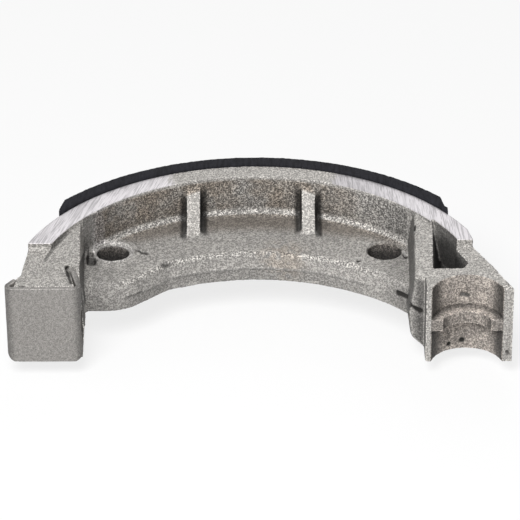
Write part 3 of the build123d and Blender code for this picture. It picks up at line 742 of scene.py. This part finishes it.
class BRAKESHOE_OT_stage(bpy.types.Operator):
    """Set the pale floor, the soft studio lights, the white surroundings and the camera"""

    bl_idname = "brakeshoe.stage"
    bl_label = "Stage"

    def execute(self, context):
        settings = context.scene.brake_shoe
        scene = context.scene
        deselect_all()
        bpy.ops.mesh.primitive_plane_add(size=6, location=(0, 0, FLOOR - 0.05 * MM))
        floor = context.active_object
        floor.name = "studio_floor"
        make_active(floor)
        bpy.ops.object.transform_apply(location=True, rotation=True, scale=True)
        floor.data.materials.append(self.floor_material())

        middle = Vector((-64 * MM, 34 * MM, 0))
        self.area_light("key_light", middle + Vector((-0.15, -0.48, 0.62)), middle, 0.42, settings.key_power)
        self.area_light("back_light", middle + Vector((0.1, 0.7, 0.5)), middle, 0.5, settings.back_power)
        self.surroundings(scene)
        self.camera(scene)
        scene.view_settings.view_transform = "Standard"
        return {"FINISHED"}

    def floor_material(self):
        material = bpy.data.materials.new("pale_floor")
        material.use_nodes = True
        tree = material.node_tree
        tree.nodes.clear()
        output = tree.nodes.new("ShaderNodeOutputMaterial")
        path = tree.nodes.new("ShaderNodeLightPath")
        matte = tree.nodes.new("ShaderNodeBsdfDiffuse")
        matte.inputs["Color"].default_value = (0.8, 0.8, 0.8, 1)
        glow = tree.nodes.new("ShaderNodeEmission")
        glow.inputs["Color"].default_value = (1, 1, 1, 1)
        seen = tree.nodes.new("ShaderNodeMath")
        seen.operation = "MAXIMUM"
        tree.links.new(path.outputs["Is Camera Ray"], seen.inputs[0])
        tree.links.new(path.outputs["Is Glossy Ray"], seen.inputs[1])
        share = tree.nodes.new("ShaderNodeMath")
        share.operation = "MULTIPLY"
        share.inputs[1].default_value = 0.8
        tree.links.new(seen.outputs[0], share.inputs[0])
        mix = tree.nodes.new("ShaderNodeMixShader")
        tree.links.new(share.outputs[0], mix.inputs[0])
        tree.links.new(matte.outputs[0], mix.inputs[1])
        tree.links.new(glow.outputs[0], mix.inputs[2])
        tree.links.new(mix.outputs[0], output.inputs["Surface"])
        return material

    def surroundings(self, scene):
        world = bpy.data.worlds.new("studio_surroundings")
        scene.world = world
        world.use_nodes = True
        tree = world.node_tree
        path = tree.nodes.new("ShaderNodeLightPath")
        seen = tree.nodes.new("ShaderNodeMath")
        seen.operation = "MAXIMUM"
        tree.links.new(path.outputs["Is Camera Ray"], seen.inputs[0])
        tree.links.new(path.outputs["Is Transmission Ray"], seen.inputs[1])
        glossy = tree.nodes.new("ShaderNodeMath")
        glossy.operation = "MULTIPLY_ADD"
        glossy.inputs[1].default_value = 0.25
        tree.links.new(path.outputs["Is Glossy Ray"], glossy.inputs[0])
        tree.links.new(seen.outputs[0], glossy.inputs[2])
        strength = tree.nodes.new("ShaderNodeMapRange")
        strength.inputs["To Min"].default_value = 0.2
        strength.inputs["To Max"].default_value = 1.0
        tree.links.new(glossy.outputs[0], strength.inputs["Value"])
        background = tree.nodes["Background"]
        background.inputs["Color"].default_value = (1, 1, 1, 1)
        tree.links.new(strength.outputs["Result"], background.inputs["Strength"])

    def area_light(self, name, place, target, size, power):
        data = bpy.data.lights.new(name, "AREA")
        data.shape = "DISK"
        data.size = size
        data.energy = power
        light = bpy.data.objects.new(name, data)
        bpy.context.scene.collection.objects.link(light)
        light.location = place
        light.rotation_mode = "QUATERNION"
        light.rotation_quaternion = (target - place).to_track_quat("-Z", "Y")

    def camera(self, scene):
        data = bpy.data.cameras.new("photo_camera")
        data.lens = 233.66
        data.sensor_width = 36
        data.clip_start = 0.05
        data.clip_end = 20
        camera = bpy.data.objects.new("photo_camera", data)
        scene.collection.objects.link(camera)
        camera.location = (-59.48 * MM, -889.47 * MM, 548.08 * MM)
        yaw = Quaternion((0, 0, 1), math.radians(0.3))
        tilt = Quaternion((1, 0, 0), math.radians(90 - 30.42))
        roll = Quaternion((0, 0, 1), math.radians(-0.4335))
        camera.rotation_mode = "QUATERNION"
        camera.rotation_quaternion = yaw @ tilt @ roll
        scene.camera = camera


class BRAKESHOE_PT_panel(bpy.types.Panel):
    bl_label = "Brake shoe"
    bl_idname = "BRAKESHOE_PT_panel"
    bl_space_type = "VIEW_3D"
    bl_region_type = "UI"
    bl_category = "Brake shoe"

    def draw(self, context):
        settings = context.scene.brake_shoe
        for name in settings.__annotations__:
            self.layout.prop(settings, name)
        for operator in OPERATORS:
            self.layout.operator(operator.bl_idname)


OPERATORS = (BRAKESHOE_OT_casting, BRAKESHOE_OT_lining, BRAKESHOE_OT_cap, BRAKESHOE_OT_stage)
CLASSES = (BrakeShoeSettings, *OPERATORS, BRAKESHOE_PT_panel)


def register():
    for item in CLASSES:
        bpy.utils.register_class(item)
    bpy.types.Scene.brake_shoe = PointerProperty(type=BrakeShoeSettings)


def unregister():
    del bpy.types.Scene.brake_shoe
    for item in reversed(CLASSES):
        bpy.utils.unregister_class(item)


def main():
    register()
    deselect_all()
    bpy.ops.brakeshoe.casting()
    bpy.ops.brakeshoe.lining()
    bpy.ops.brakeshoe.cap()
    bpy.ops.brakeshoe.stage()


if __name__ == "__main__":
    main()
